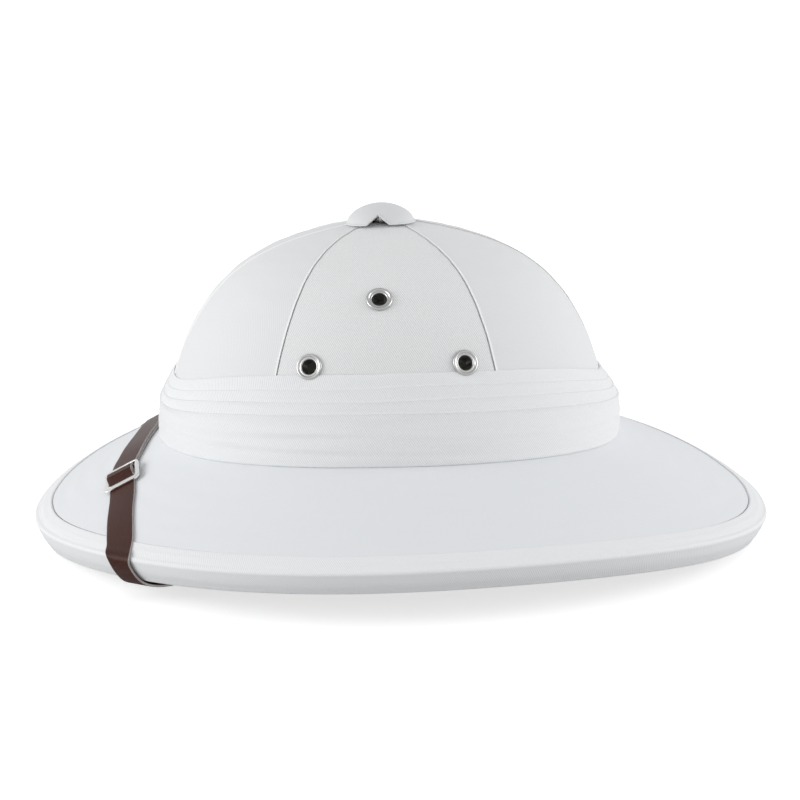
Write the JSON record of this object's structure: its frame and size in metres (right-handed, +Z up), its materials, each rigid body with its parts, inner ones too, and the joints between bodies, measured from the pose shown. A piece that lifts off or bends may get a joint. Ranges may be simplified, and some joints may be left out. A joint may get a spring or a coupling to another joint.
{
  "type": "pith helmet",
  "caption": "White cloth-covered pith helmet with a wide sloping brim, a pleated puggaree, vent eyelets, a domed vent button and a leather chin strap across the front of the brim.",
  "frame": {"origin": "on the floor under the middle of the brim's outline, the bottom centre of the bounding box", "axes": "+Z up, -Y to the front of the hat, +X to the hat's left side, which carries the slider"},
  "size_m": [0.3026, 0.3484, 0.1562],
  "materials": {
    "shell": "pressed pith fibre, matte white",
    "twill": "white cotton twill, matte",
    "binding": "white cotton binding, matte",
    "puggaree": "white pleated cotton, matte",
    "button": "white cloth-covered cap, smooth",
    "nickel": "polished nickel plate",
    "strap": "dark brown glossy leather with pale cut edges"
  },
  "bodies": {
    "root": {"helmet_shell": "shell", "brim_cover": "twill", "brim_binding": "binding", "panel_left_front": "twill", "panel_left": "twill", "panel_left_rear": "twill", "panel_right_rear": "twill", "panel_right": "twill", "panel_right_front": "twill", "puggaree": "puggaree", "vent_button": "button", "vent_stem": "nickel", "eyelet_left_front": "nickel", "eyelet_right_front": "nickel", "eyelet_left_top": "nickel", "eyelet_right_top": "nickel", "eyelet_left_rear": "nickel", "eyelet_right_rear": "nickel", "strap_left": "strap", "strap_right": "strap", "strap_slider": "nickel", "anchor_left": "nickel", "anchor_right": "nickel"}
  },
  "joints": []
}
